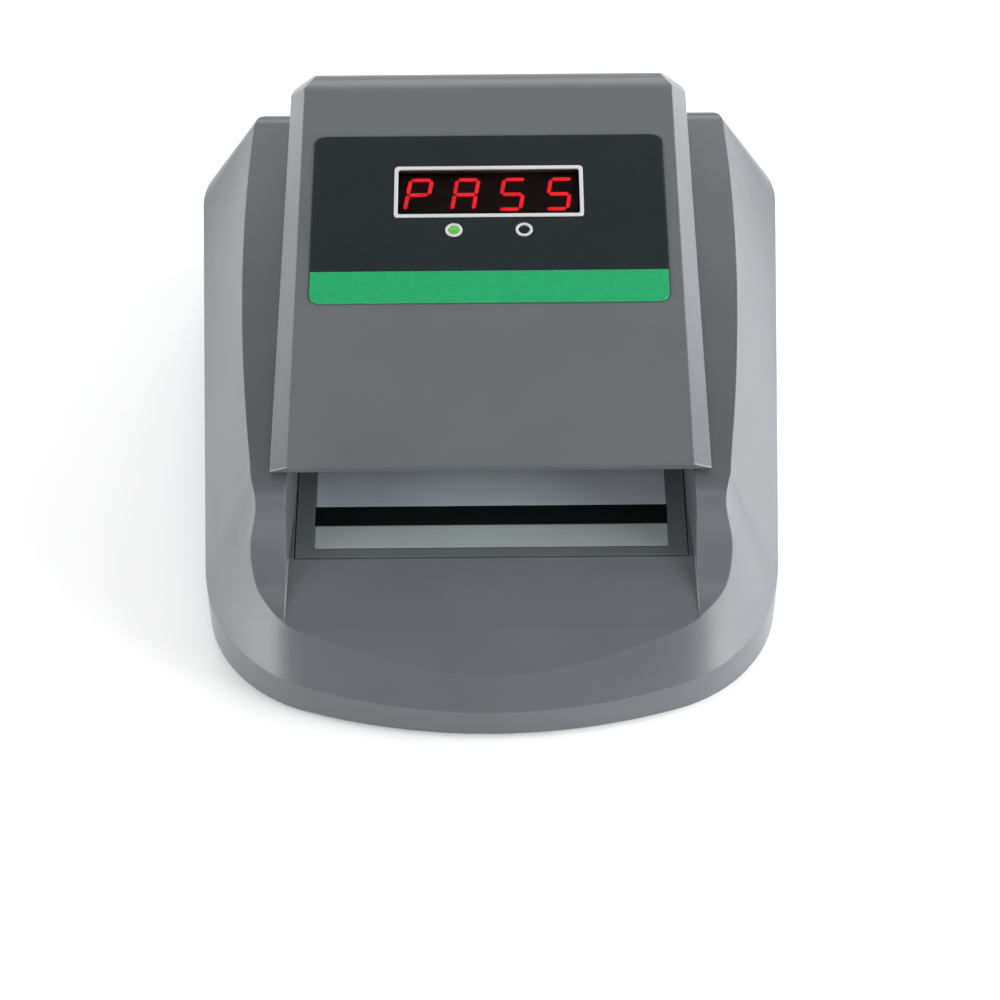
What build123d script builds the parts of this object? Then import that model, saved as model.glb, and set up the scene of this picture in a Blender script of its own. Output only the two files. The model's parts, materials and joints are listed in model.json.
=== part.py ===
"""A desktop counterfeit bill detector, built as the separate pieces it comes apart into.

Millimetres, +Z up, origin on the table under the middle of the machine.
The note goes in at the front (-Y) and leaves at the back (+Y); +X is the operator's right.
"""
import os
from math import cos, hypot, radians, sin, sqrt, tan

from build123d import *

os.makedirs("parts", exist_ok=True)

# ---------------------------------------------------------------- driving dimensions
HALF_DEPTH = 73.0           # front and back faces of the base, from the origin
SIDE_FRONT = 57.7           # half width where the side line would meet the front arc
SIDE_BACK = 65.7            # half width of the side line at the back face
FRONT_ARC = 119.0           # radius of the bowed front edge
FRONT_CORNER = 31.0
BACK_CORNER = 15.0
WALL = 2.0                  # moulded wall thickness
FOOT_HEIGHT = 1.5           # gap that the feet leave under the casing

RIM_FRONT = 8.0             # height of the upright rim at the front
RIM_ANGLE = 9.2             # the rim's upper edge climbs towards the back
SLOPE_TOP = 46.5            # level to which the sloping sides are drawn
SLOPE_DROP = 2.3            # drop of the slopes' inner face at that level, per millimetre of wall
SHOULDER_FRONT = -40.2      # front edge of the slopes at that level, on the centre line
SHOULDER_BEND = [(27.4, -44.7), (37.3, -46.5), (43.1, -45.2), (45.6, -41.5), (46.3, -36.0)]
BEND_TANGENTS = [(1.0, -0.33), (0.14, 1.0)]
SHOULDER_MID = (50.9, 9.0)
SHOULDER_BACK_HALF = 51.6
SHOULDER_BACK = 70.5
SHOULDER_BACK_CORNER = 5.0

DECK_FRONT = (-40.5, 42.7)  # (Y, Z) where the deck begins to fall to the front
DECK_BACK = (66.0, 45.7)
DECK_BACK_ROUND = 7.0
DECK_FALL = [(-48.0, 33.6), (-51.4, 27.0), (-54.0, 23.6)]  # (Y, Z) down the steep front of the deck
NOSE_POINT = (-57.5, 20.9)  # (Y, Z) where the fallen deck flattens out beside the note ramp
NOSE_SLOPE = 0.66
NOSE_RUN = 20.0
FALL_TANGENT = (-1, -0.03)  # direction of the deck as it begins to fall
WALL_SHIFT = (0.8, -0.55)   # (Y, Z) move of the falling deck's inner face, per millimetre of wall
RAMP_SLOPE = 0.60           # note ramp, rise per millimetre of run
TRAY_FRONT = -47.9          # seam between ramp and note tray
TRAY_FRONT_HEIGHT = 26.5
TRAY_ANGLE = 5.0            # the note path climbs towards the exit
CHANNEL_HALF = 39.5
CHANNEL_MOUTH_HALF = 41.2
CHANNEL_FLARE_FROM = -30.0

HOOD_FRONT = -41.4
HOOD_BACK = 69.5
HOOD_HALF = 43.5
HOOD_TOP_HALF = 39.9
HOOD_FRONT_TOP = 46.0
HOOD_ANGLE = 9.0
HOOD_FRONT_BEVEL = 2.2      # drop of the side bevel at the front edge
HOOD_BACK_BEVEL = 7.5
HOOD_CORNER = (39.9, 58.0)  # (X, Y) where the slanted cut of the back corner starts
HOOD_CORNER_NORMAL = (0.62, 0.39, 0.68)
HOOD_BACK_ROUND = 11.0
HOOD_UNDERCUT = 1.2         # the front lip leans back by this much at its lower edge
HOOD_SEAM = 0.7             # gap between the hood's lower edge and the deck
HINGE_Y = 64.5
HINGE_Z = 49.0
HINGE_PIN_R = 1.5

PANEL_HALF = 37.0
PANEL_FRONT = -1.2
PANEL_BACK = 43.6
PANEL_CORNER = 2.2
PANEL_THICK = 0.5
PANEL_RECESS = 0.3
PANEL_SPLIT = 0.05          # line between the panel's two colours
STRIPE_BACK = 6.9
BEZEL_HALF = 19.95
BEZEL_FRONT = 21.2
BEZEL_BACK = 35.0
BEZEL_LINE = 0.8
BEZEL_CORNER = 0.9
BEZEL_PROUD = 0.15
INLAY_GAP = 0.05
WINDOW_CORNER = 0.5
WINDOW_BOTTOM = -0.6        # heights here are over the hood's top face
WINDOW_THICK = 0.8
MODULE_TOP = -0.9
MODULE_BOTTOM = -6.9
MODULE_GAP = 0.25
DISPLAY_LEDGE = 0.6
DIGIT_PITCH = 9.9
DIGIT_HEIGHT = 8.2
DIGIT_WIDTH = 4.5
DIGIT_ANGLE = 8.0
DIGIT_THICK = 0.2
SEGMENT_WIDTH = 0.8
SEGMENT_GAP = 0.2
DISPLAY_BOARD = (29.0, 9.0, 40.0)   # half width, front and back
LAMP_X = 7.35
LAMP_Y = 17.7
LAMP_R = 1.15
LAMP_RING_R = 1.8
LAMP_RING_THICK = 0.12
LAMP_FIT = 0.15
LAMP_TOP = 0.3
LAMP_EDGE = 0.3

SHAFT_R = 2.0
BUSH_CLEARANCE = 0.04
SHAFT_YS = {"front": -14.0, "rear": 38.0}
ROLLER_R = 7.0
ROLLER_X = 22.0
ROLLER_WIDTH = 10.0
ROLLER_PROUD = 0.4          # drive rollers stand above the tray by this much
IDLER_R = 5.0
IDLER_SHAFT_R = 1.5
NOTE_GAP = 0.4              # space between a drive roller and its idler
CHEEK_OUTER = 39.3
CHEEK_THICK = 3.0
PULLEY_R = 8.0
MOTOR_PULLEY_R = 4.0
BELT_X = 48.0
BELT_WIDTH = 5.0
BELT_THICK = 1.0
BELT_CLEARANCE = 0.3
MOTOR_R = 10.0
MOTOR_Y = 12.0
MOTOR_Z = 14.5

PLATE_TOP = 3.5             # upper face of the bottom plate
FIT = 0.2                   # gap left between parts that drop into each other
TRAY_THICK = 2.0
TRAY_REAR = 72.6
POST_R = 3.5
POST_X = 32.5
POST_YS = (-3.0, 58.0)
BOSS_POINTS = [(-51, -34), (51, -34), (-54, 56), (54, 56)]
SENSOR_HALF = 35.5
STRIP_EDGES = [-45.4, -39.8, -34.9, -23.5]   # edges of the three sensor covers, front to back
STRIP_THICK = 1.2
GUIDE_HALF = 38.6
GUIDE_LIFT = 1.5            # note slot between tray and upper guide
GUIDE_THICK = 1.6
GUIDE_FRONT = -24.0
GUIDE_BACK = 56.0
NOTCH_HALF = 44.2           # rear notch that the hood's tail swings through
NOTCH_FRONT = 60.0
NOTCH_FLOOR = 42.0
HINGE_EAR_X = 36.4
HINGE_EAR_THICK = 2.8
HINGE_EAR_R = 2.6
BOARD_CENTRE = (-12.0, 30.0)
BOARD_SIZE = (32.0, 64.0)
BOARD_BOTTOM = 7.0
BOARD_THICK = 1.6
JACK_X = -15.5
JACK_Z = 14.5
JACK_R = 4.0
SWITCH_X = 22.0
SWITCH_Z = 15.0
SWITCH_DEPTH = 1.3          # pocket in the rear wall for the switch's flange
ROCKER_PIVOT_Y = 69.2
ROCKER_PIN_R = 1.0
ROCKER_PIN_HALF = 5.2       # half length of the rocker's pivot pins
SCREW_R = 1.25
SWITCH_POCKET = (15.0, 14.6)
SWITCH_HOLE = (12.0, 12.2)
SWITCH_PAD = (20.0, 3.2, 17.0)      # thicker wall behind the switch
SWITCH_PROUD = 0.3          # the flange stands back from the rear face by this much
FRAME_FLANGE = (14.6, 14.2)
FRAME_BODY = (11.8, 12.0)
FRAME_OPENING = (8.4, 10.4)
FRAME_BODY_DEPTH = 10.0
FRAME_OPENING_DEPTH = 8.5
ROCKER_HALF = 3.9           # half width and half height of the rocker
ROCKER_ON = 3.5             # how far the pressed-out end stands from the pivot
ROCKER_MIDDLE = 2.4
ROCKER_OFF = 2.2
ROCKER_HEEL = 1.0
ROCKER_BELLY = 2.0
ROCKER_EDGE = 0.4
BOSS_R = 3.0
PILOT_R = 1.0
PILOT_DEPTH = 12.0
FOOT_R = 4.6
FOOT_SEAT = 0.6             # depth of the foot's recess in the plate
FOOT_EDGE = 0.4
SCREW_SHANK_R = 0.95
SCREW_LENGTH = 9.0
SCREW_HEAD = (2.4, 0.8)     # radius and depth
SCREW_SLOT = 0.5
COUNTERBORE = (2.7, 1.6)    # radius and length of the cutter, half of it inside the plate
STANDOFF_R = 2.5
STANDOFF_PILOT_R = 0.9
STANDOFF_PILOT = 4.0
BOARD_SCREW_HEAD = (2.0, 0.8)
BOARD_SCREW_LENGTH = 3.0
BOARD_INSET = 3.0           # board screw centres, from the board's edges
BOARD_CORNER = 1.5
BOARD_HOLE_R = 1.2
VENT_SLOT = (30.0, 1.6)
VENT_PITCH = 4.0
VENT_COUNT = 6
VENT_Y = -30.0
BUSH_R = 3.5
BUSH_FLANGE = 1.0
CHEEK_SHAPE = [(48.0, 18.0), (30.0, 8.0), (0.0, 8.0), (-24.0, 14.0)]   # (Y, Z) below the tray
ROLLER_WINDOW = (12.5, 14.5)
HEAD_SIZE = (14.0, 7.0, 2.6)
SENSOR_BLOCK_DEPTH = 9.0
STRIP_GAP = 0.06
MOTOR_BOSS_R = 3.0
MOTOR_BOSS = 1.5
MOTOR_LEFT = 10.0
MOTOR_EDGE = 1.0
MOTOR_SHAFT_R = 1.0
MOTOR_SHAFT_IN = 3.5
PULLEY_GAP = 0.3
PULLEY_LIP = 0.8
PULLEY_LIP_RISE = 1.6
SHAFT_CHAMFER = 0.3
CHIPS = [((-12, 24), (14, 14, 1.6)), ((-18, 8), (8, 6, 1.5)), ((-4, 8), (5, 6, 1.5))]
CAPACITOR_PLACES = [(-4, 46), (-4, 38)]
CAPACITOR_R = 3.0
CAPACITOR_HEIGHT = 9.0
CAPACITOR_EDGE = 0.6
SOCKET_PLACES = [(-21, 38), (1, 22)]
SOCKET_SIZE = (5.0, 10.0, 5.0)
SOCKET_WALL = 0.8
SOCKET_DEPTH = 3.5
JACK_BODY = (9.0, 12.0, 11.0)
JACK_NECK = 3.0
JACK_BORE_R = 2.75
JACK_PIN_R = 1.0
JACK_BORE_DEPTH = 9.5
JACK_BACK = 0.4             # the jack's face stands back from the rear wall's
HOOD_BOSS_X = 35.5
HOOD_BOSS_YS = (-18.5, 52.0)
HOOD_BOSS_R = 2.8
HOOD_OPEN = 20.0            # how far the hood's inner form reaches below its seam
HINGE_BOSS_R = 3.3
HINGE_SLOT = (4.4, 6.4, 20.0)
HINGE_SLOT_TOP = 3.0        # the slot's upper end, above the hinge
HINGE_GAP = 0.4
PIN_OVERRUN = 0.5
PIN_SEAT = 1.3
GUIDE_SCREW_R = 0.9
GUIDE_HOLE_R = 1.1
GUIDE_SCREW_LENGTH = 6.0
SPRING_HALF = 3.0
SPRING_REACH = 12.0
SPRING_REST = 3.0
SPRING_THICK = 0.4
SPRING_GAP = 0.3
SPRING_OVERHANG = 2.0
SPRING_EDGE = 0.5
EAR_INNER = 29.5
EAR_OUTER = 32.5
EAR_FOOT = 5.0
EAR_HEAD = 3.0
IDLER_WINDOW = (12.0, 12.0)
IDLER_WIDTH = 9.0
AXLE_END = 1.0
GUIDE_SCREW_HEAD = 0.8
GUIDE_LIP_Y = -37.6         # front edge of the guide, lifted to lead the note in
GUIDE_LIP_Z = 41.9
GUIDE_LIP_THICK = 1.8
REAR_CUT = 8.0              # depth cut through the rear wall for the switch and the jack
ON_BASE = (Align.CENTER, Align.CENTER, Align.MIN)
LONG = 200.0                # larger than the machine, for cutting solids
OUTSIDE = 90.0              # a place beyond the machine's front and back
BELOW = -1.0


# ---------------------------------------------------------------- shared geometry
def tray_height(y):
    """Height of the note path's lower surface."""
    return TRAY_FRONT_HEIGHT + (y - TRAY_FRONT) * tan(radians(TRAY_ANGLE))


def deck_height(y):
    """Height of the flat part of the deck."""
    rise = (DECK_BACK[1] - DECK_FRONT[1]) / (DECK_BACK[0] - DECK_FRONT[0])
    return DECK_FRONT[1] + (y - DECK_FRONT[0]) * rise


def hood_height(y):
    """Height of the hood's sloping top face."""
    return HOOD_FRONT_TOP + (y - HOOD_FRONT) * tan(radians(HOOD_ANGLE))


def rim_height(y):
    """Height of the rim's upper edge."""
    return RIM_FRONT + (y + HALF_DEPTH) * tan(radians(RIM_ANGLE))


def base_outline(inset=0.0):
    """Plan outline of the base."""
    front = -HALF_DEPTH + FRONT_ARC - sqrt(FRONT_ARC**2 - SIDE_FRONT**2)
    with BuildSketch() as outline:
        with BuildLine():
            bow = ThreePointArc((-SIDE_FRONT, front), (0, -HALF_DEPTH), (SIDE_FRONT, front))
            right = Line(bow @ 1, (SIDE_BACK, HALF_DEPTH))
            back = Line(right @ 1, (-SIDE_BACK, HALF_DEPTH))
            Line(back @ 1, bow @ 0)
        make_face()
        fillet(outline.vertices().group_by(Axis.Y)[0], FRONT_CORNER)
        fillet(outline.vertices().group_by(Axis.Y)[-1], BACK_CORNER)
        if inset:
            offset(amount=-inset)
    return outline.sketch


def shoulder_outline():
    """Plan outline of the slopes where they would reach the slope-top level."""
    right_bend = SHOULDER_BEND
    left_bend = [(-x, y) for x, y in reversed(SHOULDER_BEND)]
    left_tangents = [(x, -y) for x, y in reversed(BEND_TANGENTS)]
    with BuildSketch() as outline:
        with BuildLine():
            ThreePointArc(left_bend[-1], (0, SHOULDER_FRONT), right_bend[0])
            Spline(*right_bend, tangents=BEND_TANGENTS)
            right = ThreePointArc(right_bend[-1], SHOULDER_MID, (SHOULDER_BACK_HALF, SHOULDER_BACK))
            back = Line(right @ 1, (-SHOULDER_BACK_HALF, SHOULDER_BACK))
            ThreePointArc(back @ 1, (-SHOULDER_MID[0], SHOULDER_MID[1]), left_bend[0])
            Spline(*left_bend, tangents=left_tangents)
        make_face()
        fillet(outline.vertices().group_by(Axis.Y)[-1], SHOULDER_BACK_CORNER)
    return outline.sketch


def base_form(inset=0.0, floor=FOOT_HEIGHT):
    """Outer form of the base: upright rim, sloping sides and falling deck."""
    rim_plane = Plane.XY.rotated((RIM_ANGLE, 0, 0)).moved(Location((0, 0, rim_height(0))))
    with BuildPart() as form:
        with BuildSketch(Plane.XY.offset(floor)):
            add(base_outline(inset))
        extrude(amount=LONG)
        split(bisect_by=rim_plane, keep=Keep.BOTTOM)
        rim_face = form.faces().sort_by(Axis.Z)[-1]
        with BuildSketch(Plane.XY.offset(SLOPE_TOP - SLOPE_DROP * inset)) as shoulder:
            add(shoulder_outline())
        loft(sections=[rim_face, shoulder.sketch.faces()[0]], ruled=True)
        with BuildSketch(Plane.YZ.offset(-LONG / 2)):
            with BuildLine():
                deck = Line((DECK_BACK[0], DECK_BACK[1] - inset), (DECK_FRONT[0], DECK_FRONT[1] - inset))
                fall_points = [
                    (y + WALL_SHIFT[0] * inset, z + WALL_SHIFT[1] * inset) for y, z in DECK_FALL + [NOSE_POINT]
                ]
                fall = Spline(deck @ 1, *fall_points, tangents=[FALL_TANGENT, (-1, -NOSE_SLOPE)])
                nose_end = fall @ 1 + Vector(-NOSE_RUN, -NOSE_RUN * NOSE_SLOPE)
                nose = Line(fall @ 1, nose_end)
                low = Polyline(nose @ 1, (-OUTSIDE, BELOW), (HALF_DEPTH - inset, BELOW))
                back = Line(low @ 1, (HALF_DEPTH - inset, DECK_BACK[1] - DECK_BACK_ROUND))
                TangentArc(back @ 1, deck @ 0, tangent=(0, 1))
            make_face()
        extrude(amount=LONG, mode=Mode.INTERSECT)
    return form.part


def path_point(y, height):
    """(Y, Z) of a point at a height square to the note path, over the path's place y."""
    tilt = radians(TRAY_ANGLE)
    return (y - height * sin(tilt), tray_height(y) + height * cos(tilt))


TRAY_PLANE = Plane(
    origin=(0, 0, tray_height(0)),
    x_dir=(1, 0, 0),
    z_dir=(0, -sin(radians(TRAY_ANGLE)), cos(radians(TRAY_ANGLE))),
)
HOOD_PLANE = Plane(
    origin=(0, 0, hood_height(0)),
    x_dir=(1, 0, 0),
    z_dir=(0, -sin(radians(HOOD_ANGLE)), cos(radians(HOOD_ANGLE))),
)


def on_tray(y):
    """Distance along the tray plane of the place that stands at y."""
    return y / cos(radians(TRAY_ANGLE))


def on_hood(y):
    """Distance along the hood's top plane of the place that stands at y."""
    return y / cos(radians(HOOD_ANGLE))


def save(piece, label):
    """Name a finished piece and write its file."""
    piece.part.label = label
    export_step(piece.part, f"parts/{label}.step")


def side_prism(points, x_from, x_to):
    """Solid with a (Y, Z) outline, drawn out across the machine."""
    with BuildPart() as prism:
        with BuildSketch(Plane.YZ.offset(x_from)):
            with BuildLine():
                Polyline(*points, close=True)
            make_face()
        extrude(amount=x_to - x_from)
    return prism.part


def cross_rod(radius, x_from, x_to, y, z, bore=0.0):
    """Round bar or sleeve lying across the machine."""
    with BuildPart() as rod:
        with BuildSketch(Plane.YZ.offset(x_from)):
            with Locations((y, z)):
                Circle(radius)
                if bore:
                    Circle(bore, mode=Mode.SUBTRACT)
        extrude(amount=x_to - x_from)
    return rod.part


def channel_form(grow=0.0):
    """Space of the note channel and of the rear notch, grown by a wall."""
    front = -OUTSIDE
    back = OUTSIDE
    ramp_low = TRAY_FRONT_HEIGHT + (front - TRAY_FRONT) * RAMP_SLOPE
    flare = (CHANNEL_MOUTH_HALF - CHANNEL_HALF) / (CHANNEL_FLARE_FROM - NOSE_POINT[0])
    front_half = CHANNEL_HALF + flare * (CHANNEL_FLARE_FROM - front)
    with BuildPart() as channel:
        with BuildSketch(Plane.YZ.offset(-LONG / 2)):
            with BuildLine():
                Polyline(
                    (front, ramp_low - grow),
                    (TRAY_FRONT, TRAY_FRONT_HEIGHT - grow),
                    (back, tray_height(back) - grow),
                    (back, LONG),
                    (front, LONG),
                    close=True,
                )
            make_face()
        extrude(amount=LONG)
        with BuildSketch():
            with BuildLine():
                Polyline(
                    (-front_half - grow, front),
                    (-CHANNEL_HALF - grow, CHANNEL_FLARE_FROM),
                    (-CHANNEL_HALF - grow, back),
                    (CHANNEL_HALF + grow, back),
                    (CHANNEL_HALF + grow, CHANNEL_FLARE_FROM),
                    (front_half + grow, front),
                    close=True,
                )
            make_face()
        extrude(amount=LONG, mode=Mode.INTERSECT)
        with BuildSketch(Plane.XY.offset(NOTCH_FLOOR - grow)):
            with Locations((0, NOTCH_FRONT - grow)):
                Rectangle(2 * (NOTCH_HALF + grow), LONG, align=(Align.CENTER, Align.MIN))
        extrude(amount=LONG)
    return channel.part


# ---------------------------------------------------------------- base casing
boss_form = base_form(inset=WALL / 2)
base_outer = base_form()
base_inner = base_form(inset=WALL, floor=BELOW)
channel_skin = channel_form(WALL)
channel_space = channel_form()

with BuildPart() as base_cavity:
    add(base_inner)
    add(channel_skin, mode=Mode.SUBTRACT)

with BuildPart() as base_bosses:
    with BuildSketch(Plane.XY.offset(PLATE_TOP)):
        with Locations(*BOSS_POINTS):
            Circle(BOSS_R)
    extrude(amount=LONG)
    add(boss_form, mode=Mode.INTERSECT)

with BuildPart() as base_cover:
    add(base_outer)
    add(base_cavity.part, mode=Mode.SUBTRACT)
    add(base_bosses.part)
    with Locations((SWITCH_X, HALF_DEPTH - WALL, SWITCH_Z)):
        Box(*SWITCH_PAD, align=(Align.CENTER, Align.MAX, Align.CENTER))
    add(channel_space, mode=Mode.SUBTRACT)
    # seat of the note tray, through the channel's floor and the rear wall
    seat_drop = TRAY_THICK + FIT
    seat = side_prism(
        [
            (TRAY_FRONT, tray_height(TRAY_FRONT) - seat_drop),
            (OUTSIDE, tray_height(OUTSIDE) - seat_drop),
            (OUTSIDE, LONG),
            (TRAY_FRONT, LONG),
        ],
        -CHANNEL_HALF,
        CHANNEL_HALF,
    )
    add(seat, mode=Mode.SUBTRACT)
    with Locations(*[(x, y, PLATE_TOP) for x, y in BOSS_POINTS]):
        Cylinder(PILOT_R, PILOT_DEPTH, align=ON_BASE, mode=Mode.SUBTRACT)
    with BuildSketch(Plane.XZ.offset(-HALF_DEPTH)):
        with Locations((SWITCH_X, SWITCH_Z)):
            Rectangle(*SWITCH_POCKET)
    extrude(amount=SWITCH_DEPTH, mode=Mode.SUBTRACT)
    with BuildSketch(Plane.XZ.offset(-HALF_DEPTH)):
        with Locations((SWITCH_X, SWITCH_Z)):
            Rectangle(*SWITCH_HOLE)
        with Locations((JACK_X, JACK_Z)):
            Circle(JACK_R + FIT)
    extrude(amount=REAR_CUT, mode=Mode.SUBTRACT)
save(base_cover, "base_cover")

FEET = {
    "front_left": (-36, -48),
    "front_right": (36, -48),
    "rear_left": (-40, 60),
    "rear_right": (40, 60),
}
POSTS = [(x, y) for x in (-POST_X, POST_X) for y in POST_YS]
board_x, board_y = BOARD_CENTRE
board_w, board_l = BOARD_SIZE
BOARD_POSTS = [
    (board_x + sx * (board_w / 2 - BOARD_INSET), board_y + sy * (board_l / 2 - BOARD_INSET))
    for sx in (-1, 1)
    for sy in (-1, 1)
]

with BuildPart() as bottom_plate:
    with BuildSketch(Plane.XY.offset(FOOT_HEIGHT)):
        add(base_outline(WALL + FIT))
    extrude(amount=PLATE_TOP - FOOT_HEIGHT)
    with BuildSketch(Plane.XY.offset(PLATE_TOP)):
        with Locations(*BOARD_POSTS):
            Circle(STANDOFF_R)
    extrude(amount=BOARD_BOTTOM - PLATE_TOP)
    with Locations(*[(x, y, BOARD_BOTTOM) for x, y in BOARD_POSTS]):
        Cylinder(STANDOFF_PILOT_R, STANDOFF_PILOT, mode=Mode.SUBTRACT)
    with Locations(*[(x, y, FOOT_HEIGHT) for x, y in FEET.values()]):
        Cylinder(FOOT_R + FIT / 2, 2 * FOOT_SEAT, mode=Mode.SUBTRACT)
    with Locations(*[(x, y, FOOT_HEIGHT) for x, y in BOSS_POINTS + POSTS]):
        Cylinder(SCREW_R, PILOT_DEPTH, mode=Mode.SUBTRACT)
        Cylinder(*COUNTERBORE, mode=Mode.SUBTRACT)
    with BuildSketch(Plane.XY.offset(FOOT_HEIGHT)):
        with Locations((0, VENT_Y)):
            with GridLocations(0, VENT_PITCH, 1, VENT_COUNT):
                SlotOverall(*VENT_SLOT)
    extrude(amount=WALL, mode=Mode.SUBTRACT)
save(bottom_plate, "bottom_plate")

for place, (x, y) in FEET.items():
    with BuildPart() as foot:
        with BuildSketch():
            with Locations((x, y)):
                Circle(FOOT_R)
        extrude(amount=FOOT_HEIGHT + FOOT_SEAT)
        chamfer(foot.edges().group_by(Axis.Z)[0], FOOT_EDGE)
    save(foot, f"foot_{place}")


def screw_group(points, head, shank_r, length, plane_of):
    """Pan-head screws with cross recesses; each plane lies on its screw's head."""
    head_r, head_depth = head
    with BuildPart() as screws:
        for point in points:
            plane = plane_of(point)
            with BuildSketch(plane):
                Circle(head_r)
            extrude(amount=head_depth)
            with BuildSketch(plane.offset(head_depth)):
                Circle(shank_r)
            extrude(amount=length)
            with BuildSketch(plane):
                Rectangle(head_r, SCREW_SLOT)
                Rectangle(SCREW_SLOT, head_r)
            extrude(amount=head_depth / 2, mode=Mode.SUBTRACT)
    return screws


def under_plate(point):
    """Plane on the underside of the bottom plate, facing up."""
    return Plane((*point, FOOT_HEIGHT))


base_screws = screw_group(BOSS_POINTS, SCREW_HEAD, SCREW_SHANK_R, SCREW_LENGTH, under_plate)
save(base_screws, "base_screws")
tray_screws = screw_group(POSTS, SCREW_HEAD, SCREW_SHANK_R, SCREW_LENGTH, under_plate)
save(tray_screws, "tray_screws")

# ---------------------------------------------------------------- note tray and chassis
drive_centre = {
    name: path_point(y, ROLLER_PROUD - ROLLER_R) for name, y in SHAFT_YS.items()
}
idler_lift = ROLLER_PROUD + NOTE_GAP + IDLER_R
idler_centre = {name: path_point(y, idler_lift) for name, y in SHAFT_YS.items()}
CHEEK_INNER = CHEEK_OUTER - CHEEK_THICK
cheek_back = CHEEK_SHAPE[0][0]
cheek_front = CHEEK_SHAPE[-1][0]

with BuildPart() as note_tray:
    add(
        side_prism(
            [
                (TRAY_FRONT + FIT, tray_height(TRAY_FRONT + FIT)),
                (TRAY_REAR, tray_height(TRAY_REAR)),
                (TRAY_REAR, tray_height(TRAY_REAR) - TRAY_THICK),
                (TRAY_FRONT + FIT, tray_height(TRAY_FRONT + FIT) - TRAY_THICK),
            ],
            -CHEEK_OUTER,
            CHEEK_OUTER,
        )
    )
    for side in (-CHEEK_OUTER, CHEEK_INNER):
        cheek = side_prism(
            [
                (cheek_front, tray_height(cheek_front) - TRAY_THICK / 2),
                (cheek_back, tray_height(cheek_back) - TRAY_THICK / 2),
                *CHEEK_SHAPE,
            ],
            side,
            side + CHEEK_THICK,
        )
        add(cheek)
    for post_x, post_y in POSTS:
        with BuildSketch(Plane.XY.offset(PLATE_TOP)):
            with Locations((post_x, post_y)):
                Circle(POST_R)
        extrude(amount=tray_height(post_y) - TRAY_THICK / 2 - PLATE_TOP)
    ear_foot = tray_height(HINGE_Y) - TRAY_THICK / 2
    for side in (-1, 1):
        ear_inner = side * HINGE_EAR_X - HINGE_EAR_THICK / 2
        with BuildSketch(Plane.YZ.offset(ear_inner)):
            with Locations((HINGE_Y, HINGE_Z)):
                Circle(HINGE_EAR_R)
                Rectangle(2 * HINGE_EAR_R, HINGE_Z - ear_foot, align=(Align.CENTER, Align.MAX))
        extrude(amount=HINGE_EAR_THICK)
    with BuildSketch(TRAY_PLANE):
        with Locations((0, on_tray((STRIP_EDGES[0] + STRIP_EDGES[-1]) / 2))):
            Rectangle(2 * SENSOR_HALF + FIT, on_tray(STRIP_EDGES[-1] - STRIP_EDGES[0]) + FIT)
        for y in SHAFT_YS.values():
            with Locations((-ROLLER_X, on_tray(y)), (ROLLER_X, on_tray(y))):
                Rectangle(*ROLLER_WINDOW)
        with Locations((0, on_tray(SHAFT_YS["front"]))):
            Rectangle(HEAD_SIZE[0] + FIT, HEAD_SIZE[1] + FIT)
    extrude(amount=-2 * TRAY_THICK, mode=Mode.SUBTRACT)
    for y, z in drive_centre.values():
        add(cross_rod(BUSH_R, -LONG / 2, LONG / 2, y, z), mode=Mode.SUBTRACT)
    add(cross_rod(MOTOR_BOSS_R + FIT, 0, LONG / 2, MOTOR_Y, MOTOR_Z), mode=Mode.SUBTRACT)
    add(
        cross_rod(HINGE_PIN_R + BUSH_CLEARANCE, -LONG / 2, LONG / 2, HINGE_Y, HINGE_Z),
        mode=Mode.SUBTRACT,
    )
    with Locations(*[(x, y, PLATE_TOP) for x, y in POSTS]):
        Cylinder(PILOT_R, PILOT_DEPTH, align=ON_BASE, mode=Mode.SUBTRACT)
save(note_tray, "note_tray")

STRIP_NAMES = ["light_sensor_cover", "image_sensor_window", "uv_sensor_cover"]
for name, low, high in zip(STRIP_NAMES, STRIP_EDGES, STRIP_EDGES[1:]):
    with BuildPart() as strip:
        with BuildSketch(TRAY_PLANE):
            with Locations((0, on_tray((low + high) / 2))):
                Rectangle(2 * SENSOR_HALF, on_tray(high - low) - STRIP_GAP)
        extrude(amount=-STRIP_THICK)
    save(strip, name)

with BuildPart() as sensor_block:
    with BuildSketch(TRAY_PLANE.offset(-STRIP_THICK)):
        with Locations((0, on_tray((STRIP_EDGES[0] + STRIP_EDGES[-1]) / 2))):
            Rectangle(2 * SENSOR_HALF, on_tray(STRIP_EDGES[-1] - STRIP_EDGES[0]) - FIT)
    extrude(amount=-SENSOR_BLOCK_DEPTH)
save(sensor_block, "sensor_block")

with BuildPart() as magnetic_head:
    with BuildSketch(TRAY_PLANE):
        with Locations((0, on_tray(SHAFT_YS["front"]))):
            Rectangle(HEAD_SIZE[0], HEAD_SIZE[1])
    extrude(amount=-HEAD_SIZE[2])
save(magnetic_head, "magnetic_head")

for name, (y, z) in drive_centre.items():
    for side_name, side in (("left", -1), ("right", 1)):
        with BuildPart() as bush:
            sleeve = sorted((side * CHEEK_INNER, side * CHEEK_OUTER))
            flange = sorted((side * CHEEK_INNER, side * (CHEEK_INNER - BUSH_FLANGE)))
            add(cross_rod(BUSH_R, *sleeve, y, z, SHAFT_R + BUSH_CLEARANCE))
            add(cross_rod(BUSH_R + BUSH_FLANGE, *flange, y, z, SHAFT_R + BUSH_CLEARANCE))
        save(bush, f"bush_{name}_{side_name}")


# ---------------------------------------------------------------- drive train
def pulley_part(radius, bore, y, z):
    """Flanged belt pulley on a cross shaft."""
    half = BELT_WIDTH / 2 + PULLEY_GAP
    with BuildPart() as pulley:
        add(cross_rod(radius, BELT_X - half, BELT_X + half, y, z, bore))
        for start in (BELT_X - half - PULLEY_LIP, BELT_X + half):
            add(cross_rod(radius + PULLEY_LIP_RISE, start, start + PULLEY_LIP, y, z, bore))
    return pulley


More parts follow.
